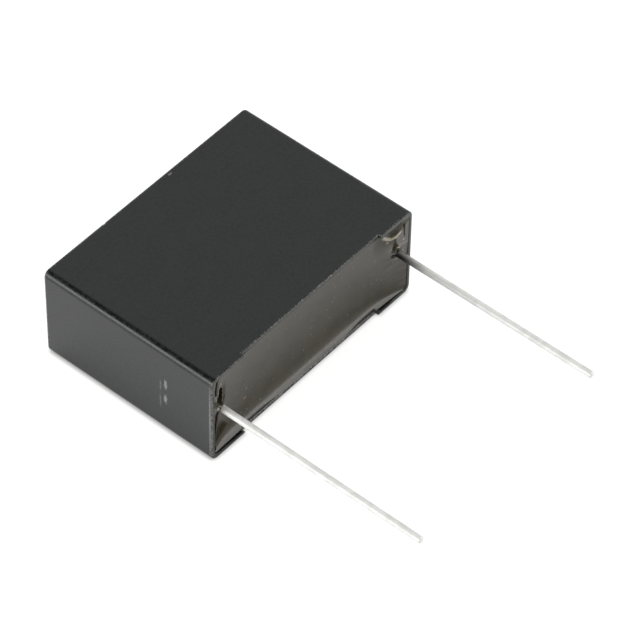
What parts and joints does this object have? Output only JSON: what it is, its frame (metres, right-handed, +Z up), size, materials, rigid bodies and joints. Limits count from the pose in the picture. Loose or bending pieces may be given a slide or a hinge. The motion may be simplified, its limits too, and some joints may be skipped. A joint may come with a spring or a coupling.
{
  "type": "film capacitor",
  "caption": "Box-type film capacitor: black moulded case on stand-off feet, dished resin potting on the open side, and long straight tinned wire leads for through-hole mounting.",
  "frame": {"origin": "middle of the large side of the case that the part lies on", "axes": "+X along the row of leads, -Y the way the leads leave the case, +Z up through the case's thickness"},
  "size_m": [0.031, 0.0479, 0.012],
  "materials": {
    "case_plastic": "moulded black thermoplastic with a fine spark-eroded grain",
    "potting_epoxy": "cast dark brown-grey epoxy with a soft gloss",
    "metallised_film": "wound metallised polypropylene film",
    "sprayed_zinc": "rough flame-sprayed zinc",
    "tinned_copper": "bright tinned wire with fine drawing lines"
  },
  "bodies": {
    "root": {"case": "case_plastic", "potting_resin": "potting_epoxy", "film_winding": "metallised_film", "end_spray_left": "sprayed_zinc", "end_spray_right": "sprayed_zinc", "lead_left": "tinned_copper", "lead_right": "tinned_copper"}
  },
  "joints": []
}
